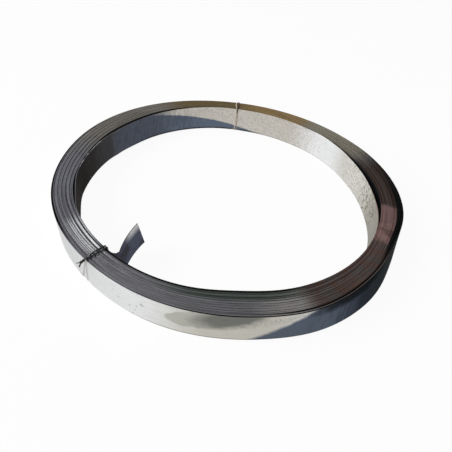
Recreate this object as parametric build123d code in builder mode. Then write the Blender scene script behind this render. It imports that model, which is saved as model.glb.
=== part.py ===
"""Steel strip coil, ribbon wound, held by two soft wire ties, with the strip's inner end bent into the bore."""
import os
from math import cos, radians, sin

from build123d import *

# The strip and the mandrel it was wound on
BORE_D = 300.0
STRIP_W = 30.0
STRIP_T = 0.8

# Groups of turns from the inside out, as a count of turns and how far the group has slid up
TURN_GROUPS = [
    (2, 1.3), (3, 0.7), (2, 1.2), (4, 0.4), (3, 1.5), (2, 0.8), (4, 1.3), (3, 0.6), (3, 1.2),
]

# The innermost and the outermost turn lie on the floor, and on the right both stand off the bundle
STAND_NIP = 0.3
INNER_STAND_OFF = 5.0
INNER_STAND_FROM = -20.0
INNER_STAND_TO = 46.0
OUTER_STAND_OFF = 4.2
OUTER_STAND_FROM = -56.0
OUTER_STAND_TO = 44.0

# The strip's inner end, bent off the innermost turn into the bore
TAIL_AT = -125.3
TAIL_BITE = 0.15
TAIL_BEND_R = 4.4
TAIL_HEADING = 84.0
TAIL_TURN_BACK = 26.0
TAIL_LEN = 29.0
TAIL_PITCH = 14.0

# Soft wire ties, laid double, with seats in the lower end so that the coil lies flat
WIRE_D = 1.7
WIRE_GAP = 0.15
TIE_CLEARANCE = 0.15
FLOOR_CLEARANCE = 0.1
FRONT_TIE_AT = -127.6
BACK_TIE_AT = 90.3

# The twist that closes a tie, and its two cut ends
TWIST_R = 0.62
TWIST_PITCH = 7.0
FORK_SPREAD = 36.0
FRONT_TWIST_SLOPE = -14.0
FRONT_TWIST_LEN = 5.5
FRONT_FORK_LEN = 5.0
BACK_TWIST_SLOPE = -165.0
BACK_TWIST_LEN = 3.5
BACK_FORK_LEN = 2.5

bore_r = BORE_D / 2
bundle_r = bore_r + STRIP_T
turns = 2 + sum(count for count, slide in TURN_GROUPS)
outer_r = bore_r + turns * STRIP_T
top_slide = max(slide for count, slide in TURN_GROUPS)
coil_h = STRIP_W + top_slide
wire_r = WIRE_D / 2
wire_pitch = WIRE_D + WIRE_GAP
wrap = wire_r + TIE_CLEARANCE
seat_h = FLOOR_CLEARANCE + WIRE_D + TIE_CLEARANCE
seat_w = wire_pitch + WIRE_D + 2 * TIE_CLEARANCE


def polar(radius, degrees):
    return (radius * cos(radians(degrees)), radius * sin(radians(degrees)))


def half_section():
    """Outline of the bundle's section, stepped where the groups of turns have slid."""
    upper, lower, radius = [], [], bundle_r
    for count, slide in TURN_GROUPS:
        outside = radius + count * STRIP_T
        upper += [(radius, STRIP_W + slide), (outside, STRIP_W + slide)]
        lower += [(radius, slide), (outside, slide)]
        radius = outside
    return upper + lower[::-1]


def loose_turn(near, far, stand_off, start, end):
    """Ring of one turn, between its radius near the bundle and its far one, standing off from start to end."""
    away = 1 if far > near else -1
    middle = (start + end) / 2
    back = [
        polar(near + away * STAND_NIP, start), polar(near + away * stand_off, middle),
        polar(near + away * STAND_NIP, end),
    ]
    with BuildSketch() as turn:
        Circle(max(near, far))
        Circle(min(near, far), mode=Mode.SUBTRACT)
        with BuildLine():
            ThreePointArc(*back)
            Line(back[2], polar(near, end))
            ThreePointArc(polar(near, start), polar(near, middle), polar(near, end))
            Line(polar(near, start), back[0])
        make_face(mode=Mode.SUBTRACT)
        with BuildLine():
            ThreePointArc(*back)
            Line(back[2], polar(far, end))
            ThreePointArc(polar(far, start), polar(far + away * stand_off, middle), polar(far, end))
            Line(polar(far, start), back[0])
        make_face()
    return turn.sketch


def tail_sections():
    """Planes across the strip's inner end: round a skew bend, then on in a slight curve, rising."""
    heading = TAIL_AT + 90
    pitch = 0.0
    start = polar(bore_r + STRIP_T / 2 - TAIL_BITE, TAIL_AT)
    at = Vector(*start, STRIP_W / 2)
    bend_steps, tail_steps = 6, 5
    bend_turn = (TAIL_HEADING - heading) / bend_steps
    bend_step = TAIL_BEND_R * radians(bend_turn)
    moves = [(bend_turn, TAIL_PITCH / bend_steps, bend_step)] * bend_steps
    moves += [(-TAIL_TURN_BACK / tail_steps, 0.0, TAIL_LEN / tail_steps)] * tail_steps
    planes = [Plane(origin=at, x_dir=Vector(*polar(1, heading + 90), 0), z_dir=Vector(*polar(1, heading), 0))]
    for turn, climb, step in moves:
        heading, pitch = heading + turn / 2, pitch + climb / 2
        level = cos(radians(pitch))
        at += Vector(*polar(step * level, heading), step * sin(radians(pitch)))
        heading, pitch = heading + turn / 2, pitch + climb / 2
        ahead = Vector(*polar(cos(radians(pitch)), heading), sin(radians(pitch)))
        planes.append(Plane(origin=at, x_dir=Vector(*polar(1, heading + 90), 0), z_dir=ahead))
    return planes


def tie_plane(at, shift=0.0):
    """Upright plane through the axis at an angle, set aside by shift along the turns: x out, y up."""
    out = Vector(*polar(1, at), 0)
    along = Vector(*polar(1, at - 90), 0)
    return Plane(origin=along * shift, x_dir=out, z_dir=along)


def tie_loop(at, shift):
    """One wire round the whole section of the bundle."""
    low, high = FLOOR_CLEARANCE + wire_r, coil_h + wrap
    inside, outside = bore_r - wrap, outer_r + wrap
    cut = wrap * (2 - 2**0.5)
    with BuildLine(tie_plane(at, shift)) as loop:
        Polyline(
            (inside, high - cut), (inside + cut, high), (outside - cut, high), (outside, high - cut),
            (outside, low + cut), (outside - cut, low), (inside + cut, low), (inside, low + cut), close=True,
        )
    with BuildSketch(Plane(origin=loop.line @ 0, z_dir=loop.line % 0)) as wire:
        Circle(wire_r)
    sweep(sections=wire.sketch, path=loop.line, transition=Transition.RIGHT)


def twist(upright, start, slope, length, fork_len):
    """The two wires twisted together from a start point in an upright plane, and their two cut ends."""
    ahead = upright.x_dir * cos(radians(slope)) + upright.y_dir * sin(radians(slope))
    aside = upright.y_dir * cos(radians(slope)) - upright.x_dir * sin(radians(slope))
    origin = upright.from_local_coords((*start, 0))
    turned = radians(-360 * length / TWIST_PITCH)
    first = aside * cos(turned) + ahead.cross(aside) * sin(turned)
    base = Plane(origin=origin, x_dir=first, z_dir=ahead)
    with BuildSketch(base) as pair:
        with Locations((TWIST_R, 0), (-TWIST_R, 0)):
            Circle(wire_r)
    with BuildLine(base) as spine:
        Line((0, 0, 0), (0, 0, length))
    with BuildLine(base) as turning:
        Helix(pitch=TWIST_PITCH, height=length, radius=TWIST_R)
    sweep(sections=pair.sketch, path=spine.line, binormal=turning.line)
    spread = radians(FORK_SPREAD)
    for way in (1, -1):
        root = origin + ahead * (length - wire_r) + aside * (way * TWIST_R)
        tip = root + aside * (way * fork_len * sin(spread)) + ahead * (fork_len * cos(spread))
        with BuildLine() as fork:
            Line(root, tip)
        with BuildSketch(Plane(origin=root, z_dir=tip - root)) as cut_end:
            Circle(wire_r)
        sweep(sections=cut_end.sketch, path=fork.line)


# Coil of strip
with BuildPart() as strip_coil:
    with BuildSketch(Plane.XZ):
        Polygon(*half_section(), align=None)
    revolve(axis=Axis.Z)
    inner_turn = loose_turn(bundle_r, bore_r, INNER_STAND_OFF, INNER_STAND_FROM, INNER_STAND_TO)
    outer_turn = loose_turn(
        outer_r - STRIP_T, outer_r, OUTER_STAND_OFF, OUTER_STAND_FROM, OUTER_STAND_TO,
    )
    extrude(inner_turn, amount=STRIP_W)
    extrude(outer_turn, amount=STRIP_W)
    for across in tail_sections():
        with BuildSketch(across):
            Rectangle(STRIP_T, STRIP_W)
    loft(ruled=True)
    for tie_at in (FRONT_TIE_AT, BACK_TIE_AT):
        with Locations(Location((0, 0, 0), (0, 0, tie_at))):
            with Locations(((bore_r + outer_r) / 2, 0, 0)):
                Box(outer_r - bore_r + 4 * wire_r, seat_w, 2 * seat_h, mode=Mode.SUBTRACT)
strip_coil.part.label = "strip_coil"

# Front tie, its twist standing out from the outer top corner
with BuildPart() as front_tie:
    for shift in (wire_pitch / 2, -wire_pitch / 2):
        tie_loop(FRONT_TIE_AT, shift)
    twist(
        tie_plane(FRONT_TIE_AT), (outer_r + wrap, coil_h - wire_r), FRONT_TWIST_SLOPE,
        FRONT_TWIST_LEN, FRONT_FORK_LEN,
    )
front_tie.part.label = "front_tie"

# Back tie, its twist bent down along the inner face
with BuildPart() as back_tie:
    for shift in (wire_pitch / 2, -wire_pitch / 2):
        tie_loop(BACK_TIE_AT, shift)
    twist(
        tie_plane(BACK_TIE_AT), (bore_r - wrap, coil_h - WIRE_D), BACK_TWIST_SLOPE,
        BACK_TWIST_LEN, BACK_FORK_LEN,
    )
back_tie.part.label = "back_tie"

os.makedirs("parts", exist_ok=True)
export_step(strip_coil.part, "parts/strip_coil.step")
export_step(front_tie.part, "parts/front_tie.step")
export_step(back_tie.part, "parts/back_tie.step")
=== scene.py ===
# %% [markdown]
# # A coil of narrow steel strip
#
# The object is a ribbon-wound coil: one long narrow strip of galvanised steel, wound on a mandrel turn
# over turn and lying flat on the floor. Two soft wires tie it, one at the front left and one at the back,
# and the strip's inner end is bent into the bore. This lesson winds the strip for real, from a straight
# length, and then gives the metal its stains, its bright faces and its dark cut edges.
#
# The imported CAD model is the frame: it fixes the sizes, and each new piece stands for one of its nodes.

# %% The frame and the units
import math

import bpy
import numpy as np
from mathutils import Matrix, Vector


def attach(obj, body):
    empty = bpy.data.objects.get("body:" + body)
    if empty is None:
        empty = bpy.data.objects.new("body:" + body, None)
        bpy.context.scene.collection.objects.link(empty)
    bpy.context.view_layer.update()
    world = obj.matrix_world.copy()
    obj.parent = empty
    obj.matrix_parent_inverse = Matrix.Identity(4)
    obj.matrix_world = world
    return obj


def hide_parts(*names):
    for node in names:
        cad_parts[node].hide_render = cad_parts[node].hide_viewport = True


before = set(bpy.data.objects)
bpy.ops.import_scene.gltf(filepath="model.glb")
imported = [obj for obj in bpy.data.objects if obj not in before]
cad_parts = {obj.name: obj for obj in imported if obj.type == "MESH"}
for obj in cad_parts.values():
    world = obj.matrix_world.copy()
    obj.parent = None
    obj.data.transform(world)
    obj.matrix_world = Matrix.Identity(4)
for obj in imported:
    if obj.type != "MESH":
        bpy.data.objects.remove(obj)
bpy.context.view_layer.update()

MM = 0.001

# %% [markdown]
# ## Working by hand, from a script
#
# Every operator acts on what is selected, and the frame arrives selected. So each step starts by
# deselecting everything, and faces or edges are then picked by their place, as a hand would pick them.
# Its points can also be moved as one array, which suits a shape that a rule gives.


# %% Selecting and finishing
def start_clean():
    """Object mode, with nothing selected."""
    if bpy.context.object and bpy.context.object.mode != "OBJECT":
        bpy.ops.object.mode_set(mode="OBJECT")
    bpy.ops.object.select_all(action="DESELECT")


def take(piece):
    """Selects one piece alone and makes it the active one."""
    start_clean()
    piece.select_set(True)
    bpy.context.view_layer.objects.active = piece


def edit_all():
    """Edit mode, with everything selected."""
    bpy.ops.object.mode_set(mode="EDIT")
    bpy.ops.mesh.select_all(action="SELECT")


def turn_outward(piece, sharp):
    """Turns all faces outward, and smooths the edges flatter than an angle in degrees."""
    take(piece)
    edit_all()
    bpy.ops.mesh.normals_make_consistent(inside=False)
    bpy.ops.object.mode_set(mode="OBJECT")
    bpy.ops.object.shade_smooth_by_angle(angle=math.radians(sharp))


# %% Reading, moving and measuring points
def points_of(piece):
    """The piece's vertices as an array, one row each."""
    found = np.zeros(len(piece.data.vertices) * 3)
    piece.data.vertices.foreach_get("co", found)
    return found.reshape(-1, 3)


def put_points(piece, places):
    """Moves the piece's vertices to these places."""
    piece.data.vertices.foreach_set("co", np.asarray(places, float).ravel())
    piece.data.update()


def mark_points(piece, label, values):
    """Gives each point of a piece a number of its own, which a material can read."""
    marks = piece.data.attributes.new(label, "FLOAT", "POINT")
    marks.data.foreach_set("value", values.astype(np.float32))
    print(label, "on", piece.name, "runs from", values.min().round(3), "to", values.max().round(3))


def report(piece):
    """Prints how big a piece is and how many triangles it has."""
    low, high = points_of(piece).min(0) / MM, points_of(piece).max(0) / MM
    triangles = sum(len(face.vertices) - 2 for face in piece.data.polygons)
    print(piece.name, "from", low.round(1), "to", high.round(1), "mm,", triangles, "triangles")


# %% [markdown]
# ## The strip, still straight
#
# On the real object this is cold-rolled strip from a slitting line: a thin flat section whose corners the
# slitting knives leave slightly rounded. It could be made as rings, one for each turn, but then no turn
# would lead into the next. Here one short length is made by hand, repeated along its own axis, and
# closed at its two cut ends. It is wound afterwards, so the finished coil is one strip, as the real one is.

# %% One short length of strip
STRIP_W = 30.0 * MM
STRIP_T = 0.61 * MM
CORNER = 0.07 * MM
STEP = 3.0 * MM
END_FACING = 0.9

start_clean()
bpy.ops.mesh.primitive_plane_add(
    size=1, location=(0, STRIP_T / 2, STRIP_W / 2), rotation=(0, math.pi / 2, 0))
strip = bpy.context.object
strip.name = "wound_strip"
bpy.ops.object.transform_apply(location=True, rotation=True, scale=True)
edit_all()
bpy.ops.transform.resize(value=(1, STRIP_T, STRIP_W), center_override=(0, STRIP_T / 2, STRIP_W / 2))
bpy.ops.mesh.bevel(offset=CORNER, segments=1, affect="VERTICES")
bpy.ops.mesh.select_all(action="SELECT")
bpy.ops.mesh.extrude_region_move(TRANSFORM_OT_translate={"value": (STEP, 0, 0)})
bpy.ops.mesh.select_all(action="DESELECT")
bpy.ops.mesh.select_mode(type="FACE")
bpy.ops.object.mode_set(mode="OBJECT")
for face in strip.data.polygons:
    face.select = abs(face.normal.x) > END_FACING
bpy.ops.object.mode_set(mode="EDIT")
bpy.ops.mesh.delete(type="ONLY_FACE")
bpy.ops.mesh.select_mode(type="VERT")
bpy.ops.object.mode_set(mode="OBJECT")
report(strip)

# %% [markdown]
# The strip has three kinds of surface: the side that will look to the bore, the side that will look out,
# and its sheared edges. They are told apart now, while a face's direction still says which it is. Once
# the strip is wound they would have to be found turn by turn.

# %% The strip's three finishes, given while it is straight
EDGE_FACING = 0.4

inner_side = bpy.data.materials.new("inner_side")
outer_side = bpy.data.materials.new("outer_side")
cut_edge = bpy.data.materials.new("cut_edge")
for finish in (inner_side, outer_side, cut_edge):
    strip.data.materials.append(finish)
for face in strip.data.polygons:
    is_edge, looks_in = abs(face.normal.z) > EDGE_FACING, face.normal.y < 0
    face.material_index = 2 if is_edge else 0 if looks_in else 1
print("faces of each finish:", [
    sum(face.material_index == n for face in strip.data.polygons) for n in range(3)])

# %% [markdown]
# How long the strip is follows from the coil. A spiral that gains one pitch in each turn has the length
# of a mean turn times the number of turns. The strip's inner end, which will be bent into the bore, comes
# on top. An Array modifier then repeats the short length and joins the copies point to point.

# %% The whole length
BORE_R = 150.0
BAND = 22.4
TURNS = 28.44
TAIL = 40.0
PITCH = BAND / TURNS

wound_length = math.pi * TURNS * (2 * BORE_R + PITCH * TURNS)
cells = round((wound_length + TAIL) * MM / STEP)
print("strip length", round((wound_length + TAIL) / 1000, 2), "m in", cells, "steps")

take(strip)
repeat = strip.modifiers.new("repeat", "ARRAY")
repeat.count = cells
repeat.use_relative_offset = False
repeat.use_constant_offset = True
repeat.constant_offset_displace = (STEP, 0, 0)
repeat.use_merge_vertices = True
repeat.merge_threshold = STEP / 100
bpy.ops.object.modifier_apply(modifier="repeat")
edit_all()
bpy.ops.mesh.fill_holes(sides=0)
bpy.ops.mesh.select_all(action="SELECT")
bpy.ops.mesh.normals_make_consistent(inside=False)
bpy.ops.object.mode_set(mode="OBJECT")
report(strip)

# %% [markdown]
# ## How the coil really lies
#
# A hand-tied coil is not a perfect ring. The ties pinch it, the turns between them fan out, some groups
# of turns have slid up a little, and on the right the innermost and the outermost turn stand off the rest.
# Each of these is written as a smooth swell at an angle, measured from +X, so that it can be read and
# changed one by one. A sculpted shape could not be corrected by half a millimetre at one place.

# %% The outline of the ring
TAIL_AT = -125.3
FRONT_TIE_AT = -127.6
BACK_TIE_AT = 90.3
INNER_START = BORE_R + 0.4
SWELL_FALL = 1.4

# Swells of the bundle's faces as angle, half width in degrees, and height in mm
OUTER_SWELLS = [
    (160, 30, 2.6), (82, 40, -3.4), (30, 20, 1.5), (-26, 12, -2.4), (-63, 17, 2.6), (-124, 22, -1.4),
    (-166, 20, 0.9),
]
INNER_SWELLS = [
    (-128, 34, 1.7), (-84, 14, -2.4), (-36, 30, 1.6), (0, 22, 2.6), (24, 16, -2.2), (58, 22, -2.4),
    (84, 14, -1.4), (147, 12, -1.6), (-160, 20, 2.6),
]


def away_from(angle, at):
    """How many degrees lie between an angle and a place on the ring."""
    return np.abs((angle - at + 180) % 360 - 180)


def swell(angle, at, half_width):
    """1 at an angle, falling smoothly to 0 away from it."""
    return np.exp(-((away_from(angle, at) / half_width) ** 2) * SWELL_FALL)


def window(angle, at, half_width):
    """As swell, but with a flat foot at both ends."""
    share = away_from(angle, at) / half_width
    return np.where(share < 1, (1 + np.cos(np.pi * np.minimum(share, 1))) / 2, 0.0)


def inner_face(angle):
    return INNER_START + sum(height * swell(angle, at, wide) for at, wide, height in INNER_SWELLS)


def outer_face(angle):
    return BORE_R + BAND + sum(height * swell(angle, at, wide) for at, wide, height in OUTER_SWELLS)


for at in (FRONT_TIE_AT, BACK_TIE_AT, 151, -75, 0):
    at = np.float64(at)
    print("bundle at", at, "degrees:", inner_face(at).round(1), "to", outer_face(at).round(1))

# %% [markdown]
# The turns lie in groups that have slid up together. Between two groups the strip climbs from one height
# to the next. Where the turns fan out, the air between them lies mostly between groups too, and more of
# it near the bore. Both could be random, but then the groups of the photograph would not come back.

# %% Groups of turns
# Each group's number of turns, and how far it has slid up in mm
GROUPS = [
    (1, 0.0), (2, 2.0), (2, 0.4), (3, 2.3), (2, 0.3), (2, 2.1), (3, 0.4), (2, 2.0), (3, 0.5), (3, 1.9),
    (2, 0.3), (2, 1.5), (1, 0.1),
]
CLIMB_BEFORE = 0.4
CLIMB_SOFT = 0.3
WIDEST_GAP, NARROWEST_GAP = 2.0, 0.4

boundaries = np.cumsum([count for count, slide in GROUPS])[:-1]
slides = [slide for count, slide in GROUPS]


def climbed(layer, boundary):
    """0 before a boundary between groups and 1 after it."""
    t = np.clip((layer - boundary + CLIMB_BEFORE) / CLIMB_SOFT / 2 + 0.5, 0, 1)
    return t * t * (3 - 2 * t)


def group_slide(layer):
    """How far a layer of the winding has slid up with its group."""
    height = np.full_like(layer, slides[0])
    for boundary, before, after in zip(boundaries, slides, slides[1:]):
        height += (after - before) * climbed(layer, boundary)
    return height


def group_count(layer):
    """How much of the room between the groups lies inside a layer; the gaps are wider nearer the bore."""
    wider = np.linspace(WIDEST_GAP, NARROWEST_GAP, len(boundaries))
    return sum(wide * climbed(layer, boundary) for wide, boundary in zip(wider, boundaries)) / wider.sum()


print(len(GROUPS), "groups hold", sum(count for count, slide in GROUPS), "turns")

# %% [markdown]
# ## Winding the strip
#
# A winder lays each turn on the last, and a coil off its mandrel loosens where nothing holds it. So three
# things decide where a place on the strip lies: how far the groups have fanned out at its angle, whether
# its turn is the innermost, the outermost or near it, and how far such a turn stands off the rest.

# %% Where the turns fan out and where they are loose
# Fans as angle, half width in degrees, and strength
FANS = [(-146, 32, 0.94), (178, 30, 0.25)]
FAN_LEAST = 0.06
RIPPLE_WAVES = 9
END_TURN = 1.15
END_SOFT = 0.25
LOOSENED = 10.0

rng = np.random.default_rng(11)
wave_counts = rng.uniform(0.35, 2.4, RIPPLE_WAVES)
wave_starts = rng.uniform(0, 2 * np.pi, RIPPLE_WAVES)


def fanned(angle):
    """How far the groups have slid up at an angle: all the way on the left, little elsewhere."""
    return np.clip(FAN_LEAST + sum(window(angle, at, wide) * share for at, wide, share in FANS), 0, 1)


def ripple(turn):
    """A slow irregular wave along the strip."""
    waves = [np.sin(2 * np.pi * count * turn + start) for count, start in zip(wave_counts, wave_starts)]
    return sum(waves) / math.sqrt(len(waves))


def innermost(turn):
    """1 in the innermost turn, 0 beyond it."""
    return np.clip((END_TURN - turn) / END_SOFT, 0, 1)


def outermost(turn):
    """1 in the outermost turn, 0 before it."""
    return np.clip((turn - TURNS + END_TURN) / END_SOFT, 0, 1)


def loosened(turn):
    """0 in the bundle, rising to 1 in the outermost turn, through the last few."""
    return np.clip((turn - TURNS + LOOSENED) / (LOOSENED - 1), 0, 1)


print("fanned at the front tie:", fanned(np.float64(FRONT_TIE_AT)).round(2))

# %% How far the loose turns stand off
# Each as angle, half width in degrees, and mm from the axis
INNER_PARTINGS = [(3, 30, -6.0), (142, 42, -1.3), (-160, 13, -1.9), (30, 24, -1.4)]
OUTER_STAND = (2, 42, 5.0)
OUTER_PARTING = (-48, 62, -0.8)
PARTED_TURNS = 2.6
CREASE_AT, CREASE_WIDE, CREASE_DEEP = 157, 2.5, -0.9


def stood_off(angle, turn):
    """How far a loose turn stands off the bundle in mm, below 0 where it stands in the bore."""
    off = sum(window(angle, at, wide) * amount for at, wide, amount in INNER_PARTINGS) * innermost(turn)
    off = off + CREASE_DEEP * np.exp(-away_from(angle, CREASE_AT) / CREASE_WIDE) * innermost(turn)
    at, wide, amount = OUTER_STAND
    off = off + window(angle, at, wide) * amount * loosened(turn)
    at, wide, amount = OUTER_PARTING
    before = (1 - climbed(turn, TURNS - PARTED_TURNS)) * turn / TURNS
    return off + window(angle, at, wide) * amount * before


print("the innermost turn stands off by", stood_off(np.float64(3), np.float64(0.6)).round(1), "mm")

# %% [markdown]
# Each place along the strip now goes to its turn and its angle. Its distance from the axis comes from the
# ring's two faces there. Each turn takes a tight pitch, and the spare room is shared out over them. Where
# they fan out, it all goes to the gaps between groups. Its height comes from its group, and from how far
# the bundle is raised there. On the right the loose turns lie on the floor.

# %% Where a turn lies
TIGHT = 0.615
GATHERED = 0.45
RIPPLE = 0.06
LIFT = 0.6
RAISED_AT, RAISED_WIDE, RAISED_BY = 142, 46, 1.5
ON_FLOOR_AT, ON_FLOOR_WIDE = -20, 80


def lay(turn):
    """Angle, distance from the axis to the strip's inner side, and height of its lower edge, in mm."""
    angle = TAIL_AT - 360 * turn
    inside, outside = inner_face(angle), outer_face(angle)
    spare = outside - inside - STRIP_T / MM - TURNS * TIGHT
    share = fanned(angle)
    gathered = GATHERED + (1 - GATHERED) * share
    inward_of_it = gathered * group_count(turn) + (1 - gathered) * turn / TURNS
    radius = inside + turn * TIGHT + spare * inward_of_it + stood_off(angle, turn)
    height = group_slide(turn) * share + RIPPLE * ripple(turn)
    height += LIFT * (1 - share) * (1 - outermost(turn))
    height += window(angle, RAISED_AT, RAISED_WIDE) * RAISED_BY * (1 - innermost(turn))
    height *= 1 - loosened(turn) * window(angle, ON_FLOOR_AT, ON_FLOOR_WIDE)
    return angle, radius, np.maximum(height, 0.0)


print("the outermost turn ends at", lay(np.array([TURNS]))[1].round(1), "mm from the axis")

# %% [markdown]
# The spiral's length is solved for the number of turns, which gives every point of the straight strip its
# turn. At the front right the outer turns lean out at their foot, as on the real coil.

# %% The winding
FLARE_AT, FLARE_WIDE, FLARE_BY = -34, 44, 6.6

places = points_of(strip) / MM
along, side, up = places[:, 0] - TAIL, places[:, 1], places[:, 2]
turn = (np.sqrt(BORE_R**2 + np.maximum(along, 0) * PITCH / np.pi) - BORE_R) / PITCH
angle, radius, height = lay(turn)
flare = window(angle, FLARE_AT, FLARE_WIDE) * FLARE_BY * (turn / TURNS) ** 2
radius += flare * (1 - up / (STRIP_W / MM))
wound = np.stack([
    (radius + side) * np.cos(np.radians(angle)),
    (radius + side) * np.sin(np.radians(angle)),
    height + up,
], axis=1)
print(len(wound), "points wound, farthest", (radius + side).max().round(1), "mm from the axis")

# %% [markdown]
# ## The strip's inner end
#
# The inner end leaves the innermost turn just past the front tie, turns into the bore in a tight bend and
# then rises a little in a slight curve. Somebody has pulled it there by hand, so it is twisted a little as
# well. A curve with a profile could give it, but it would be a second piece. Here the strip's own points
# walk back along the bend in short steps.

# %% The tail's course
TAIL_BEND_R = 4.4
TAIL_HEADING = 84.0
TAIL_TURN_BACK = 28.0
TAIL_PITCH = 14.0
TAIL_STEP = 0.25


def cos_sin(degrees):
    """Cosine and sine of an angle in degrees."""
    return math.cos(math.radians(degrees)), math.sin(math.radians(degrees))


bend_turn = TAIL_HEADING - TAIL_AT - 90
bend_length = TAIL_BEND_R * math.radians(bend_turn)
root_radius, root_height = lay(np.zeros(1))[1:]
cosine, sine = cos_sin(TAIL_AT)
tail_root = (root_radius[0] * cosine, root_radius[0] * sine, root_height[0])


def tail_place(back):
    """Where the strip's foot lies, some mm back from the root: x, y, z, heading and pitch."""
    heading, pitch, x, y, z = TAIL_AT + 90, 0.0, *tail_root
    done = 0.0
    while done < back:
        step = min(TAIL_STEP, back - done)
        if done < bend_length:
            heading += step * bend_turn / bend_length
            pitch += step * TAIL_PITCH / bend_length
        else:
            heading -= step * TAIL_TURN_BACK / (TAIL - bend_length)
        (cosine, sine), (level, climb) = cos_sin(heading), cos_sin(pitch)
        x, y, z = x + step * level * cosine, y + step * level * sine, z + step * climb
        done += step
    return x, y, z, heading, pitch


print("the tail's tip lies at", [round(float(v), 1) for v in tail_place(TAIL)[:3]])

# %% The tail
TAIL_ROLL = 3.0

for n in np.flatnonzero(along < 0):
    x, y, z, heading, pitch = tail_place(-along[n])
    (cosine, sine), (level, climb) = cos_sin(heading), cos_sin(pitch)
    out, rise = Vector((sine, -cosine, 0)), Vector((-climb * cosine, -climb * sine, level))
    cosine, sine = cos_sin(TAIL_ROLL * -along[n] / TAIL)
    across, upward = out * cosine - rise * sine, rise * cosine + out * sine
    middle = Vector((x, y, z + STRIP_W / MM / 2))
    wound[n] = middle + across * side[n] + upward * (up[n] - STRIP_W / MM / 2)
put_points(strip, wound * MM)
turn_outward(strip, sharp=35)
report(strip)

# %% [markdown]
# Each point keeps its turn, below 0 on the tail, and its place across the strip. The finishes read both,
# because a place in space can't tell one turn from the next.

# %% What the finishes read
mark_points(strip, "turn", np.where(along < 0, along / (2 * np.pi * BORE_R), turn))
mark_points(strip, "across_mm", up)

# %% [markdown]
# ## The two wire ties
#
# A tie on the real coil is soft steel wire passed twice round the bundle and twisted with pliers, its two
# cut ends left as a short fork. A wire is a round section that follows a route, so each one is a curve
# with its points set out in the upright plane through the tie: out from the axis, up, and along the turns.
# The bevel of the curve gives it its thickness, and it becomes a mesh at the end. A chain of cylinders
# would show a joint at every bend.

# %% The bundle at a tie, and a rounded route
WIRE_R = 0.6
WIRE_SPACE = 0.1
FLOOR_SPACE = 0.1
CORNER_SHARE = 0.45


def bundle_at(at):
    """The bundle at an angle: its nearest and farthest radius and its highest point, in mm."""
    turn = ((TAIL_AT - at) % 360) / 360 + np.arange(math.floor(TURNS))
    radius, height = lay(turn)[1:]
    return radius.min(), radius.max() + STRIP_T / MM, height.max() + STRIP_W / MM


def rounded(corners, radius, steps=6):
    """A run of straight lines with its corners rounded."""
    route = [corners[0]]
    for before, corner, after in zip(corners, corners[1:], corners[2:]):
        into, out = corner - before, after - corner
        room = min(radius, into.length * CORNER_SHARE, out.length * CORNER_SHARE)
        start, end = corner - into.normalized() * room, corner + out.normalized() * room
        for n in range(steps + 1):
            t = n / steps
            route.append(start.lerp(corner, t).lerp(corner.lerp(end, t), t))
    return route + [corners[-1]]


for at in (FRONT_TIE_AT, BACK_TIE_AT):
    print("the tie at", at, "degrees goes round", [round(float(v), 1) for v in bundle_at(at)])

# %% [markdown]
# The two strands of a twist wind round each other once, on opposite sides of its middle line, and then
# part. The loops cross the end face side by side. On their way back under the coil they spread, and on
# the front tie they lean, because they were pulled tight at the top.

# %% The twist and the loops
TWIST_STEPS = 12
FORK_LEAD = 0.3
FORK_BEND_R = 0.8
STRAND_GAP = 1.2
WIRE_CORNER_R = 1.7
LAST_DROP = 3.5 * WIRE_R


def strand(root, ahead, aside, length, fork_length, fork_spread, way):
    """One strand of the twist from its root, and its cut end: the fork's points, then the strand's."""
    beside = ahead.cross(aside)
    route = []
    for n in range(TWIST_STEPS + 1):
        turned = 2 * math.pi * n / TWIST_STEPS
        lobe = (aside * math.cos(turned) + beside * math.sin(turned)) * way
        route.append(root + ahead * (length * n / TWIST_STEPS) + lobe * WIRE_R)
    spread = math.radians(fork_spread)
    tip = route[-1] + (aside * way * math.sin(spread) + ahead * math.cos(spread)) * fork_length
    return rounded([route[-2], route[-1] + ahead * FORK_LEAD, tip], FORK_BEND_R, 4)[1:], route


def loops(near, far, low, high, splay, bow, lean, ends):
    """Twice round the bundle, from one strand's root to the other's."""
    apart, middle = WIRE_R + STRAND_GAP / 2, (near + far) / 2
    return rounded([
        ends[0],
        Vector((near, -apart, high)).lerp(Vector((far, -apart, high)), 0.15),
        Vector((middle, -apart - bow, high)),
        Vector((far, -apart, high)),
        Vector((far, -apart, low)),
        Vector((near, lean - splay, low)),
        Vector((near, -apart / 2, high)),
        Vector((near, apart / 2, high)).lerp(Vector((far, apart, high)), 0.1),
        Vector((middle, apart + bow, high)),
        Vector((far, apart, high)),
        Vector((far, apart, low)),
        Vector((near, lean + splay, low)),
        Vector((near, apart / 2, high - LAST_DROP)),
        ends[1],
    ], WIRE_CORNER_R)


# %% From a route to a wire
def drawn_wire(name, route, out, sideways):
    """A mesh of round wire along a route, whose points are given as out, sideways and up."""
    start_clean()
    drawn = bpy.data.curves.new(name, "CURVE")
    drawn.dimensions = "3D"
    drawn.bevel_depth = WIRE_R * MM
    drawn.bevel_resolution = 3
    drawn.use_fill_caps = True
    line = drawn.splines.new("POLY")
    line.points.add(len(route) - 1)
    for point, (far_out, beside, high) in zip(line.points, route):
        point.co = (*((out * far_out + sideways * beside) * MM + Vector((0, 0, high * MM))), 1)
    wire = bpy.data.objects.new(name, drawn)
    bpy.context.collection.objects.link(wire)
    take(wire)
    bpy.ops.object.convert(target="MESH")
    wire = bpy.context.object
    edit_all()
    bpy.ops.mesh.remove_doubles(threshold=0.02 * MM)
    turn_outward(wire, sharp=40)
    print(name, "takes", round(sum((b - a).length for a, b in zip(route, route[1:]))), "mm of wire")
    return wire


# %% A tie
TWIST_START = 0.4
HANDLED_BELOW_TOP = 1.2
HANDLED_OFF_SIDE = 0.3


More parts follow.
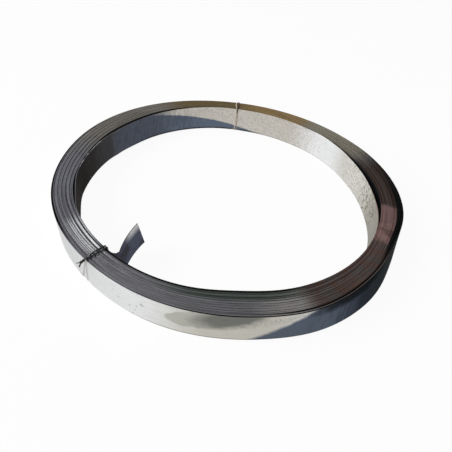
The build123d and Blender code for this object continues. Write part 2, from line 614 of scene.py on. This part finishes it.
def tie_wire(name, at, outward, slope, twist_length, fork_length, fork_spread, splay, bow, lean):
    """One wire twice round the bundle, twisted at its outer or its inner top edge."""
    r_in, r_out, top = bundle_at(at)
    off = WIRE_R + WIRE_SPACE
    near, far = (r_out + off, r_in - off) if outward else (r_in - off, r_out + off)
    high, low = top + off, FLOOR_SPACE + WIRE_R
    cosine, sine = cos_sin(slope)
    ahead = Vector((cosine, 0, sine))
    aside = Vector((-sine, 0, cosine)) * (1 if outward else -1)
    root = Vector((near, 0, high - WIRE_R)) + ahead * TWIST_START
    fork_1, twist_1 = strand(root, ahead, aside, twist_length, fork_length, fork_spread, 1)
    fork_2, twist_2 = strand(root, ahead, aside, twist_length, fork_length, fork_spread, -1)
    body = loops(near, far, low, high, splay, bow, lean, (twist_1[0], twist_2[0]))
    route = fork_1[::-1] + twist_1[::-1] + body[1:-1] + twist_2 + fork_2

    out = Vector((*cos_sin(at), 0))
    sideways = Vector((out.y, -out.x, 0))
    wire = drawn_wire(name, route, out, sideways)
    places = points_of(wire) / MM
    from_side = (places[:, :2] @ np.array(out[:2]) - near) * (1 if outward else -1)
    handled = np.maximum(places[:, 2] - high + HANDLED_BELOW_TOP, from_side - HANDLED_OFF_SIDE)
    if not outward:
        handled = np.where(places[:, :2] @ np.array(sideways[:2]) > -WIRE_R, handled, 0.0)
    mark_points(wire, "bare", np.clip(handled * 2, 0, 1))
    report(wire)
    return wire


# %% [markdown]
# The top of each tie and its twist were handled and have gone dark, while its legs down the walls stay
# pale. So each wire keeps, point by point, how much it was handled.

# %% Both ties
FRONT_LEAN = 8.0
FRONT_SPLAY = 3.3
BACK_SPLAY = 1.4

front_wire = tie_wire(
    "front_wire", FRONT_TIE_AT, outward=True, slope=-14, twist_length=4.0,
    fork_length=3.4, fork_spread=40, splay=FRONT_SPLAY, bow=0.0, lean=FRONT_LEAN)
back_wire = tie_wire(
    "back_wire", BACK_TIE_AT, outward=False, slope=-165, twist_length=3.5,
    fork_length=2.5, fork_spread=36, splay=BACK_SPLAY, bow=1.0, lean=0.0)

# %% [markdown]
# ## Seats for the wires
#
# Where the coil rests on the wires, the strip's lower edges would cut into them. On the real coil the
# edges give way there. Here they are lifted over the wires, so the coil lies flat, as the CAD model does.
# Cutting them away with a box would leave new points that know nothing of their turn, and the finishes
# need it.

# %% Seats
SEAT_ROOM = 0.15
SEAT_H = FLOOR_SPACE + 2 * WIRE_R + SEAT_ROOM


def seat(at, lean, splay):
    """Lifts the strip's lower edges over the wires of the tie at an angle."""
    places = points_of(strip) / MM
    out = np.array(cos_sin(at))
    sideways = places[:, :2] @ np.array([out[1], -out[0]])
    far_out = places[:, :2] @ out
    beside = np.abs(sideways - lean * (far_out - BORE_R) / BAND)
    lower = (along > 0) & (up < STRIP_W / MM / 2) & (far_out > 0)
    over = lower & (beside < splay + WIRE_R + STEP / MM)
    places[over, 2] = np.maximum(places[over, 2], SEAT_H + up[over])
    put_points(strip, places * MM)
    print(over.sum() // 4, "places along the strip lifted at", at, "degrees")


seat(FRONT_TIE_AT, FRONT_LEAN, FRONT_SPLAY)
seat(BACK_TIE_AT, 0.0, BACK_SPLAY)
report(strip)

# %% [markdown]
# ## Finishes
#
# The strip is galvanised steel that has lain about: bright zinc on its faces, with dull patches and dark
# specks,
# and dark sheared edges that rust has tinted at the back and on the right. Over these lies painted light:
# painted highlights, painted blue-grey reflections of a shaded floor, and painted shade at the feet of the
# faces, between the turns and on some rims of the end face.
# An image could be wrapped round it, but it would smear over the turns. Here each stain is a zone of the
# ring, between two angles, with a soft wandering border. Zones, rolled lines, specks and smudges are used
# by several finishes, so each is a node group, built once.
#
# Nodes are easier to read as a formula than as a drawing, so a small helper adds each node with what
# feeds it, and hands back its output.


# %% Colours
def colour(code):
    """A colour written as six hex digits, as the shader wants it."""
    parts = [int(code[n:n + 2], 16) / 255 for n in (0, 2, 4)]
    return (*[c / 12.92 if c <= 0.04045 else ((c + 0.055) / 1.055) ** 2.4 for c in parts], 1.0)


# %% Small helpers for nodes
class Wiring:
    """Adds nodes to one node tree, each joined to what it needs."""

    def __init__(self, tree):
        self.tree = tree

    def node(self, kind, **settings):
        made = self.tree.nodes.new(kind)
        for name, value in settings.items():
            setattr(made, name, value)
        return made

    def put(self, socket, value):
        if isinstance(value, bpy.types.NodeSocket):
            self.tree.links.new(value, socket)
        else:
            socket.default_value = value

    def fed(self, kind, values, **settings):
        """A node whose first inputs get these values."""
        made = self.node(kind, **settings)
        for socket, value in zip(made.inputs, values):
            self.put(socket, value)
        return made

    def math(self, operation, *values):
        return self.fed("ShaderNodeMath", values, operation=operation).outputs[0]

    def times(self, first, *others):
        for value in others:
            first = self.math("MULTIPLY", first, value)
        return first

    def most(self, first, *others):
        for value in others:
            first = self.math("MAXIMUM", first, value)
        return first

    def vector(self, operation, *values):
        made = self.fed("ShaderNodeVectorMath", values, operation=operation)
        return made.outputs["Value" if operation in ("DOT_PRODUCT", "LENGTH") else "Vector"]

    def combine(self, x=0.0, y=0.0, z=0.0):
        return self.fed("ShaderNodeCombineXYZ", (x, y, z)).outputs[0]

    def ramp(self, value, start, end, low=0.0, high=1.0):
        values = (value, start, end, low, high)
        return self.fed("ShaderNodeMapRange", values, interpolation_type="SMOOTHSTEP").outputs[0]

    def mix(self, mask, before, after):
        made = self.node("ShaderNodeMix", data_type="RGBA")
        for socket, value in ((0, mask), (6, before), (7, after)):
            self.put(made.inputs[socket], value)
        return made.outputs[2]

    def noise(self, where, scale, detail=3.0, w=None):
        made = self.node("ShaderNodeTexNoise", noise_dimensions="3D" if w is None else "4D")
        for label, value in (("Vector", where), ("Scale", scale), ("Detail", detail)):
            self.put(made.inputs[label], value)
        if w is not None:
            self.put(made.inputs["W"], w)
        return made.outputs["Fac"]

    def share_of(self, cloud, start, end, share, reach):
        """Keeps the high parts of a noise, and more of them for a larger share."""
        less = self.times(share, reach)
        return self.ramp(cloud, self.math("SUBTRACT", start, less), self.math("SUBTRACT", end, less))

    def drift(self, scale, amount):
        """A noise about 0, which makes a border wander."""
        return self.times(self.math("SUBTRACT", self.noise(self.spot(), scale), 0.5), amount)

    def within(self, distance, limit, soft):
        """1 nearer than a limit and 0 beyond it, with a soft border."""
        start, end = self.math("SUBTRACT", limit, soft), self.math("ADD", limit, soft)
        return self.ramp(distance, start, end, 1.0, 0.0)

    def attribute(self, label):
        return self.node("ShaderNodeAttribute", attribute_name=label).outputs["Fac"]

    def spot(self):
        """The place on the coil in mm."""
        at = self.node("ShaderNodeTexCoord").outputs["Object"]
        return self.vector("MULTIPLY", at, (1000, 1000, 1000))

    def height(self):
        return self.fed("ShaderNodeSeparateXYZ", (self.spot(),)).outputs[2]

    def away(self):
        """The direction away from the axis."""
        return self.vector("NORMALIZE", self.vector("MULTIPLY", self.spot(), (1, 1, 0)))

    def far_out(self):
        """The distance from the axis in mm."""
        return self.vector("LENGTH", self.vector("MULTIPLY", self.spot(), (1, 1, 0)))

    def bump(self, height, strength):
        """A normal raised by a height of up to a tenth of a millimetre."""
        made = self.node("ShaderNodeBump")
        made.inputs["Strength"].default_value = strength
        made.inputs["Distance"].default_value = 0.1 * MM
        self.put(made.inputs["Height"], height)
        return made.outputs[0]

    def tell(self, name):
        print(name, "is made of", len(self.tree.nodes), "nodes")


# %% Making an effect and placing it
def effect(name, takes, gives):
    """A new node group with its inputs and output: its wiring, what it takes, and its result."""
    group = bpy.data.node_groups.new(name, "ShaderNodeTree")
    for label, start in takes:
        taken = group.interface.new_socket(label, in_out="INPUT", socket_type="NodeSocketFloat")
        taken.default_value = start
    group.interface.new_socket(gives, in_out="OUTPUT", socket_type="NodeSocketFloat")
    wiring = Wiring(group)
    return wiring, wiring.node("NodeGroupInput").outputs, wiring.node("NodeGroupOutput").inputs[gives]


def finished(wiring):
    """Prints an effect's size, and gives a function that places it, with values in its inputs' order."""
    group = wiring.tree
    wiring.tell(group.name)
    return lambda user, *values: user.fed("ShaderNodeGroup", values, node_tree=group).outputs[0]


# %% [markdown]
# ### A zone of the ring
#
# Oil, zinc and rust change with the angle, because the coil lay for long with one part covered and
# another bare. A zone is all that lies within some degrees of an angle. The angle between two directions
# comes from their dot product, so a zone has no seam at 180 degrees. Its border wanders, and may slant.

# %% The zone
BORDER_WAVES = 0.11
MID_HEIGHT = 15.0
SAFE_COSINE = 0.99999

wiring, given, result = effect(
    "zone", [("At", 0.0), ("Half", 20.0), ("Soft", 4.0), ("Wander", 6.0), ("Slant", 0.0)], "Mask")
slanted = wiring.times(wiring.math("SUBTRACT", wiring.height(), MID_HEIGHT), given["Slant"])
heading = wiring.math("RADIANS", wiring.math("ADD", given["At"], slanted))
toward = wiring.combine(wiring.math("COSINE", heading), wiring.math("SINE", heading))
cosine = wiring.math("MINIMUM", wiring.vector("DOT_PRODUCT", wiring.away(), toward), SAFE_COSINE)
between = wiring.math("DEGREES", wiring.math("ARCCOSINE", cosine))
between = wiring.math("ADD", between, wiring.drift(BORDER_WAVES, given["Wander"]))
wiring.put(result, wiring.within(between, given["Half"], given["Soft"]))
zone = finished(wiring)

# %% [markdown]
# ### An oval patch
#
# On the front of the outer wall something wet has dried to a dull oval patch, with a darker core. A patch
# has a width in degrees and a height in mm, and the sum of both squares gives it its oval border.

# %% The patch
PATCH_WAVES = 0.12

wiring, given, result = effect("patch", [
    ("At", 0.0), ("Wide", 10.0), ("Level", 15.0), ("Tall", 8.0), ("Tilt", 0.0), ("Soft", 0.12),
    ("Wander", 0.3)], "Mask")
away, heading = wiring.away(), wiring.math("RADIANS", given["At"])
cosine, sine = wiring.math("COSINE", heading), wiring.math("SINE", heading)
toward, beside = wiring.combine(cosine, sine), wiring.combine(wiring.times(sine, -1.0), cosine)
aside = wiring.math("DEGREES", wiring.math("ARCSINE", wiring.vector("DOT_PRODUCT", away, beside)))
above = wiring.math("SUBTRACT", wiring.height(), given["Level"])
level = wiring.math("SUBTRACT", above, wiring.times(aside, given["Tilt"]))
reach = wiring.math("SQRT", wiring.math(
    "ADD", wiring.math("POWER", wiring.math("DIVIDE", aside, given["Wide"]), 2.0),
    wiring.math("POWER", wiring.math("DIVIDE", level, given["Tall"]), 2.0)))
reach = wiring.math("ADD", reach, wiring.drift(PATCH_WAVES, given["Wander"]))
near_side = wiring.math("GREATER_THAN", wiring.vector("DOT_PRODUCT", away, toward), 0.0)
wiring.put(result, wiring.times(near_side, wiring.within(reach, 1.0, given["Soft"])))
patch = finished(wiring)

# %% [markdown]
# ### Rolled lines, specks, streaks and smudges
#
# Rolling leaves fine lines along the strip, so their noise is stretched round the ring and fine across it.
# Specks are where the zinc is pitted, streaks are where oil has run down the wall, and smudges are what
# hands and dirt leave. All three are the high parts of a noise, and their share says how much is kept.

# %% Lines left by the rolls, along the strip
AROUND = 6.0

wiring, given, result = effect("rolled_lines", [("Across", 0.0), ("Fine", 1.0), ("Along", 3.0)], "Lines")
stretched = wiring.vector("MULTIPLY", wiring.away(), (AROUND, AROUND, 0.0))
fine_across = wiring.times(given["Across"], given["Fine"])
wiring.put(result, wiring.noise(stretched, given["Along"], 2.0, fine_across))
rolled_lines = finished(wiring)

# %% Dark specks
wiring, given, result = effect("specks", [("Size", 0.6), ("Share", 0.3)], "Mask")
grain = wiring.noise(wiring.spot(), given["Size"], 4.0)
wiring.put(result, wiring.share_of(grain, 0.76, 0.80, given["Share"], 0.2))
specks = finished(wiring)

# %% Upright streaks, as oil leaves when it runs down
STREAK_DRIFT = 0.0012

wiring, given, result = effect("streaks", [("Fine", 60.0), ("Share", 0.5)], "Mask")
upright = wiring.combine(z=wiring.times(wiring.height(), STREAK_DRIFT))
runs = wiring.noise(wiring.vector("ADD", wiring.away(), upright), given["Fine"], 3.0)
wiring.put(result, wiring.share_of(runs, 0.75, 0.95, given["Share"], 0.4))
streaks = finished(wiring)

# %% Soft cloudy smudges
wiring, given, result = effect("smudges", [("Size", 0.08), ("Share", 0.5)], "Mask")
cloud = wiring.noise(wiring.spot(), given["Size"], 5.0)
wiring.put(result, wiring.share_of(cloud, 0.75, 0.95, given["Share"], 0.4))
smudges = finished(wiring)

# %% [markdown]
# ### The strip's two faces
#
# Only the outermost turn shows its outer side, and only the innermost its inner side. The faces between
# the turns see no light, so they are painted dark as shade. The tail is dull, with a painted highlight
# along its upper edge near its tip. Where the colour is dark the surface is rougher, as under a film of oil
# or rust, and this takes in the painted shade too.

# %% Laying stains over a face
EDGE_TINT = (0.3, 0.3, 0.3, 1.0)
# The rolled lines' tone, and the painted shade of the faces between the turns
LINE_TONE, GAP_SHADE = "50545a", "34373a"
TAIL_DARK, TAIL_LIGHT, TAIL_HIGHLIGHT = "4a4a50", "5d6070", "d5d6d8"
# On the tail the turn is below 0: where its tones start and are full, and where its painted highlight
# starts and is full
TAIL_FROM, TAIL_FULL = -0.0015, -0.006
HIGHLIGHT_FROM, HIGHLIGHT_FULL = -0.020, -0.034
FACE_BUMP = 0.15


def finish_of(material):
    """A material's wiring and its shader."""
    material.use_nodes = True
    return Wiring(material.node_tree), material.node_tree.nodes["Principled BSDF"]


def laid_stains_and_light(wiring, start, stains):
    """A base colour with stains and painted light laid over it in turn: colour, strength, and masks that
    are multiplied.
    """
    shade = colour(start)
    for code, strength, *masks in stains:
        shade = wiring.mix(wiring.times(*masks, strength), shade, colour(code))
    return shade


def with_tail(wiring, shade, turn_here):
    """The tail's own tones, with a painted highlight along its upper edge, in place of the ring's."""
    dull = wiring.mix(smudges(wiring, 0.06, 0.9), colour(TAIL_DARK), colour(TAIL_LIGHT))
    # A painted highlight along the upper edge, near the tip
    near_edge = wiring.ramp(wiring.attribute("across_mm"), 19.0, 30.0)
    pale = wiring.times(near_edge, wiring.ramp(turn_here, HIGHLIGHT_FROM, HIGHLIGHT_FULL))
    tail_face = wiring.mix(pale, dull, colour(TAIL_HIGHLIGHT))
    return wiring.mix(wiring.ramp(turn_here, TAIL_FROM, TAIL_FULL), shade, tail_face)


def strip_face(material, start, stains_and_light_of, hidden_from, hidden_to, rough, metal):
    """One side of the strip: its stains and painted light, painted shade between the turns, with its tail
    and its rolled lines.
    """
    wiring, shader = finish_of(material)
    height_mm, turn_here = wiring.height(), wiring.attribute("turn")
    lines = rolled_lines(wiring, height_mm, 1.3, 2.0)
    shade = laid_stains_and_light(wiring, start, stains_and_light_of(wiring, height_mm))
    shade = wiring.mix(wiring.ramp(lines, 0.35, 0.7, 0.0, 0.16), shade, colour(LINE_TONE))
    # Painted shade on the faces between the turns
    shade = wiring.mix(wiring.ramp(turn_here, hidden_from, hidden_to), shade, colour(GAP_SHADE))
    shade = with_tail(wiring, shade, turn_here)
    grey = wiring.fed("ShaderNodeRGBToBW", (shade,)).outputs[0]
    film = wiring.ramp(grey, 0.3, 0.03, 0.0, 0.3)
    wiring.put(shader.inputs["Base Color"], shade)
    wiring.put(shader.inputs["Roughness"], wiring.math(
        "ADD", film, wiring.ramp(lines, 0.2, 0.8, rough - 0.06, rough + 0.1)))
    wiring.put(shader.inputs["Metallic"], wiring.ramp(grey, 0.1, 0.5, 0.95, metal))
    shader.inputs["Specular Tint"].default_value = EDGE_TINT
    wiring.put(shader.inputs["Normal"], wiring.bump(lines, FACE_BUMP))
    wiring.tell(material.name)


# %% [markdown]
# The stains are listed from the first laid to the last: colour, strength and masks. A zone's values are
# its angle, its half width, how soft its border is, how far it wanders and how it slants. The front of the
# wall is bright, with the dried patch. On the right it is painted blue-grey and then dark, up to a slanting
# border, as the reflection of a shaded floor, with a painted shadow over its upper part. Along the foot of
# its front runs a painted contact shadow.


# %% The outer wall
def outer_stains_and_light(wiring, height_mm):
    return [
        ("a5a7a3", 0.25, smudges(wiring, 0.07, 0.35)),
        ("8d9196", 0.35, zone(wiring, 110, 70, 16), smudges(wiring, 0.05, 0.85)),
        ("5b626c", 0.9, zone(wiring, 78, 15, 1.5, 4, -0.5)),
        ("4a4c4d", 0.6, zone(wiring, 130, 50, 10), specks(wiring, 0.36, 0.5)),
        ("cdc9bd", 0.9, zone(wiring, -84, 17, 10)),
        ("bbbab0", 0.9, patch(wiring, -90, 12.5, 24, 11, 0.75, 0.07, 0.35)),
        ("72736e", 0.9, patch(wiring, -86, 8.5, 26, 11, 0.7, 0.45, 0.5)),
        # Painted reflection of a shaded floor: blue-grey, then dark, on the right up to a slanting border
        ("636c7a", 1.0, zone(wiring, -34, 38.5, 1.4, 3, 0.55)),
        ("353a43", 0.95, zone(wiring, -28, 25, 8, 4)),
        ("2e3434", 0.96, zone(wiring, -5, 36, 9, 3)),
        # Painted shadow over the upper part of the wall on the front right
        ("1b1f22", 0.9, patch(wiring, -48, 16, 31, 9, 0.2, 0.4, 0.4)),
        ("23292f", 0.3, zone(wiring, -50, 13, 9, 3), streaks(wiring, 45.0, 0.7)),
        # Painted contact shadow along the foot of the front
        ("544a40", 0.7, zone(wiring, -85, 26, 6, 3), wiring.ramp(height_mm, 1.3, 0.5)),
        ("4b4a45", 0.8, patch(wiring, -77, 13, 21, 4, 0.55, 0.4, 0.4), specks(wiring, 1.3, 0.95)),
        ("55544f", 0.85, zone(wiring, -114, 6, 3, 4), specks(wiring, 0.36, 0.55)),
        ("5c5a55", 0.55, zone(wiring, -143, 10, 3, 4), specks(wiring, 0.5, 0.6)),
    ]


strip_face(outer_side, "f2f3f3", outer_stains_and_light, TURNS - 1.0, TURNS - 1.05, rough=0.36, metal=0.6)

# %% [markdown]
# The inner face is warmer: painted bright on the right as a highlight, mottled with brown where the air got
# in, beige at the back, and painted blue-grey on the left as the reflection of a shaded floor. A straight
# border ends that at a crease, with painted shade beyond it, and a painted contact shadow runs along the
# foot.


# %% The inner face
def inner_stains_and_light(wiring, height_mm):
    lit_mottled_zone = zone(wiring, 4, 22, 8)
    return [
        # Painted highlight on the right, where the face looks toward the lamp
        ("f4f5f5", 1.0, zone(wiring, 41, 13, 10)),
        ("9a9487", 0.45, zone(wiring, 80, 34, 12), smudges(wiring, 0.5, 0.75)),
        # Painted light on the right, mottled with brown and specks that are the face's own
        ("efede6", 1.0, lit_mottled_zone),
        ("948d7c", 0.45, lit_mottled_zone, smudges(wiring, 0.45, 0.75)),
        ("5f5a4c", 0.5, lit_mottled_zone, specks(wiring, 1.6, 0.95)),
        ("9a9482", 0.4, zone(wiring, -12, 12, 6)),
        ("7c735c", 0.7, zone(wiring, -2, 10, 5), smudges(wiring, 0.3, 0.7)),
        # Painted reflection of a shaded floor on the left, and painted shade beyond the crease
        ("646e7e", 1.0, zone(wiring, 150, 43.5, 1.5, 4, 1.9)),
        ("565c68", 0.9, zone(wiring, 150, 24, 10)),
        ("3b3835", 1.0, zone(wiring, 192, 33, 1.5, 1)),
        ("56555a", 0.5, zone(wiring, 162, 8, 8, 3)),
        ("33353b", 0.25, zone(wiring, 150, 40, 8, 3), streaks(wiring, 70.0, 0.9)),
        # Painted contact shadow along the foot at the back
        ("2a2c30", 0.9, zone(wiring, 112, 32, 8, 3), wiring.ramp(height_mm, 2.6, 1.3)),
        ("8a857a", 0.2, smudges(wiring, 0.2, 0.4)),
    ]


strip_face(inner_side, "cec9c1", inner_stains_and_light, 1.02, 1.1, rough=0.36, metal=0.85)

# %% [markdown]
# ### The cut edges
#
# The end face of the coil is made of the strip's sheared edges, one beside the other. Their tone drifts
# slowly from turn to turn, which a noise along the turns gives. A random tone for each turn would flicker
# where the turns are thinner than a pixel. The zones of rust lie over them all. Left of the front tie the
# edges are painted bright, and here and there a rim of turns is painted black, as shade.

# %% Tones of the end face
OWN_TONE_START, OWN_TONE_SCALE = 5.0, 0.42


def edge_stains(wiring, turn_here):
    return [
        ("74747c", 0.9, zone(wiring, -170, 40, 12, 5)),
        ("7b766f", 0.9, zone(wiring, 140, 32, 12)),
        ("695832", 0.95, zone(wiring, 98, 24, 9)),
        ("8a7248", 0.95, zone(wiring, 70, 17, 7)),
        ("857f70", 0.95, zone(wiring, 39, 16, 6)),
        ("332014", 0.98, zone(wiring, 4.5, 17, 7)),
        ("8c8885", 0.8, zone(wiring, -69.5, 8, 5, 3)),
        ("443b38", 0.95, zone(wiring, -43, 22, 3, 3)),
        ("7d605c", 0.95, zone(wiring, -18, 10, 1.2, 3)),
        ("39423b", 0.9, zone(wiring, -84, 20, 10, 3), wiring.ramp(turn_here, 14.0, 8.0)),
        ("4e352b", 0.8, zone(wiring, -41, 23, 5), smudges(wiring, 0.11, 0.95)),
    ]


def own_tone(wiring, turn_here):
    """A tone that drifts slowly from turn to turn."""
    drift = wiring.node("ShaderNodeTexNoise", noise_dimensions="1D")
    wiring.put(drift.inputs["W"], wiring.math("ADD", turn_here, OWN_TONE_START))
    drift.inputs["Scale"].default_value = OWN_TONE_SCALE
    drift.inputs["Detail"].default_value = 0.0
    return wiring.ramp(drift.outputs["Fac"], 0.35, 0.65)


# %% Black rims, painted as shade
# Each as angle, half width and softness in degrees, then the turns where it starts and where it is full
SHADED_RIMS = [
    (-172, 34, 8, TURNS - 3.2, TURNS - 2.8), (-98, 34, 6, 2.2, 2.0),
    (-13, 21, 8, TURNS - 6.4, TURNS - 6.0), (14, 16, 6, TURNS - 2.2, TURNS - 1.8),
    (-66, 30, 8, TURNS - 1.1, TURNS - 1.0),
]
LONE_SHADED_RIM = (-46, 30, 8, TURNS - 2.5)


def painted_shade_rims(wiring, turn_here):
    at, half, soft, middle = LONE_SHADED_RIM
    beside = wiring.math("ABSOLUTE", wiring.math("SUBTRACT", turn_here, middle))
    lone = wiring.times(zone(wiring, at, half, soft, 2), wiring.ramp(beside, 0.5, 0.4))
    return wiring.most(lone, *[
        wiring.times(zone(wiring, at, half, soft, 2), wiring.ramp(turn_here, start, full))
        for at, half, soft, start, full in SHADED_RIMS])


print(len(SHADED_RIMS) + 1, "black rims")

# %% The sheared edge
wiring, shader = finish_of(cut_edge)
turn_here = wiring.attribute("turn")
lines = rolled_lines(wiring, wiring.far_out(), 0.8, 1.0)
shade = laid_stains_and_light(wiring, "66666a", edge_stains(wiring, turn_here))
# Edges painted bright left of the front tie
brightened_edges = wiring.times(zone(wiring, -136, 8, 5, 2), wiring.ramp(turn_here, TURNS * 0.95, TURNS * 0.5))
shade = wiring.mix(wiring.times(
    own_tone(wiring, turn_here), wiring.ramp(brightened_edges, 0, 1, 0.06, 1.0)), shade, colour("e0e1e3"))
shade = wiring.mix(wiring.ramp(lines, 0.42, 0.62, 0.0, 0.22), shade, colour("2a2a2c"))
first_turn = wiring.ramp(turn_here, 1.0, 0.98)
glint = wiring.most(
    wiring.times(zone(wiring, 175, 9, 4, 3), first_turn, smudges(wiring, 0.15, 0.9)),
    wiring.times(zone(wiring, 43, 5, 3, 1), first_turn))
shade = wiring.mix(glint, shade, colour("e8e8e6"))
# Rims painted black as shade
shade = wiring.mix(painted_shade_rims(wiring, turn_here), shade, colour("101112"))
wiring.put(shader.inputs["Base Color"], shade)
wiring.put(shader.inputs["Roughness"], wiring.ramp(lines, 0.3, 0.7, 0.42, 0.6))
shader.inputs["Metallic"].default_value = 0.85
shader.inputs["Specular Tint"].default_value = EDGE_TINT
wiring.put(shader.inputs["Normal"], wiring.bump(lines, 0.3))
wiring.tell("cut_edge")

# %% [markdown]
# ### The wires
#
# Both ties are soft annealed wire, pale on their legs. Where they were handled, the front tie is black
# with scale and the back tie brown with rust. One finish does for both, each time with its own two
# colours: it reads how much a point was handled, and smudges break that up.


# %% The wires' finish
def wire_finish(name, pale, dark):
    made = bpy.data.materials.new(name)
    wiring, shader = finish_of(made)
    dull = wiring.times(wiring.attribute("bare"), smudges(wiring, 0.35, 1.3))
    wiring.put(shader.inputs["Base Color"], wiring.mix(dull, colour(pale), colour(dark)))
    wiring.put(shader.inputs["Roughness"], wiring.ramp(dull, 0.0, 1.0, 0.4, 0.7))
    shader.inputs["Metallic"].default_value = 0.45
    wiring.tell(name)
    return made


front_wire.data.materials.append(wire_finish("dark_wire", "e4e4e1", "2a2c2b"))
back_wire.data.materials.append(wire_finish("rusty_wire", "d6cbbb", "2e1a10"))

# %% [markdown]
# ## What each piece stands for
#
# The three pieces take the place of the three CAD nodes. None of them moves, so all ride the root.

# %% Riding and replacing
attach(strip, "root")
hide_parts("strip_coil")
for wire, node in ((front_wire, "front_tie"), (back_wire, "back_tie")):
    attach(wire, "root")
    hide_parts(node)
    print(wire.name, "stands for", node)

# %% [markdown]
# ## Floor, light and camera
#
# The floor is plain white paper. A camera, a shiny surface or glass sees the paper's own white, so that it
# stays white without more light on the coil, while a little of the coil's shadow still shows on it. Down
# in a narrow gap between turns no paper looks white, so there the white fades: the Ambient Occlusion node
# measures how shut in a place is. A shadow catcher would need a compositor.

# %% Floor
FLOOR_WHITE = 0.93
FLOOR_UNDER = -0.2 * MM
GAP_REACH = 30.0 * MM
SHUT, OPEN = 0.12, 0.35


def seen_directly(wiring):
    """1 for what the camera, a glossy or a clear surface sees."""
    path = wiring.node("ShaderNodeLightPath").outputs
    return wiring.most(path["Is Camera Ray"], path["Is Glossy Ray"], path["Is Transmission Ray"])


start_clean()
bpy.ops.mesh.primitive_plane_add(size=6, location=(0, 0, FLOOR_UNDER))
floor = bpy.context.object
floor.name = "floor"
paper = bpy.data.materials.new("floor_paper")
wiring, shader = finish_of(paper)
shader.inputs["Base Color"].default_value = colour("fafafa")
shader.inputs["Roughness"].default_value = 0.9
shut_in = wiring.node("ShaderNodeAmbientOcclusion")
shut_in.inputs["Distance"].default_value = GAP_REACH
open_floor = wiring.ramp(shut_in.outputs["AO"], SHUT, OPEN)
glow = wiring.node("ShaderNodeEmission").outputs[0]
both = wiring.fed("ShaderNodeMixShader", (
    wiring.times(seen_directly(wiring), FLOOR_WHITE, open_floor), shader.outputs[0], glow)).outputs[0]
wiring.put(paper.node_tree.nodes["Material Output"].inputs[0], both)
floor.data.materials.append(paper)
wiring.tell("floor_paper")

# %% [markdown]
# The light is a pale room with one large soft lamp from the left, low enough to give the wall its bright
# side. The room itself lights the coil at half strength and is seen at full strength.

# %% Light
LAMP_AT, LAMP_SIZE, LAMP_WATTS = (-1.3, -0.5, 0.9), 0.8, 14
ROOM_LIGHT = 0.5

world = bpy.data.worlds.new("studio")
bpy.context.scene.world = world
world.use_nodes = True
wiring = Wiring(world.node_tree)
backdrop = world.node_tree.nodes["Background"]
backdrop.inputs["Color"].default_value = (1, 1, 1, 1)
wiring.put(backdrop.inputs["Strength"], wiring.ramp(seen_directly(wiring), 0.0, 1.0, ROOM_LIGHT, 1.0))

bpy.ops.object.light_add(type="AREA", location=LAMP_AT)
lamp = bpy.context.object
lamp.name = "key"
lamp.data.shape = "SQUARE"
lamp.data.size = LAMP_SIZE
lamp.data.energy = LAMP_WATTS
lamp.rotation_euler = (-Vector(LAMP_AT)).to_track_quat("-Z", "Y").to_euler()
print("one lamp of", LAMP_WATTS, "W,", round(Vector(LAMP_AT).length, 2), "m from the coil")

# %% [markdown]
# The camera stands in front of the coil and looks down at it. The picture is tilted a little, as a photo
# taken by hand is, so the camera is rolled about its own axis as well.

# %% Camera
CAMERA_AT = (0.0, -0.32834, 0.26196)
# In degrees
TURNED_RIGHT, LOOKS_DOWN, ROLLED = 0.313, 42.839, 6.776

bpy.ops.object.camera_add(location=CAMERA_AT)
camera = bpy.context.object
camera.rotation_euler = (
    Matrix.Rotation(math.radians(-TURNED_RIGHT), 3, "Z")
    @ Matrix.Rotation(math.radians(90 - LOOKS_DOWN), 3, "X")
    @ Matrix.Rotation(math.radians(ROLLED), 3, "Z")
).to_euler()
camera.data.lens = 30.6
camera.data.sensor_width = 36
camera.data.clip_start = 10 * MM
bpy.context.scene.camera = camera
bpy.context.scene.view_settings.view_transform = "Standard"
print("camera", round(Vector(CAMERA_AT).length, 2), "m from the coil's middle")
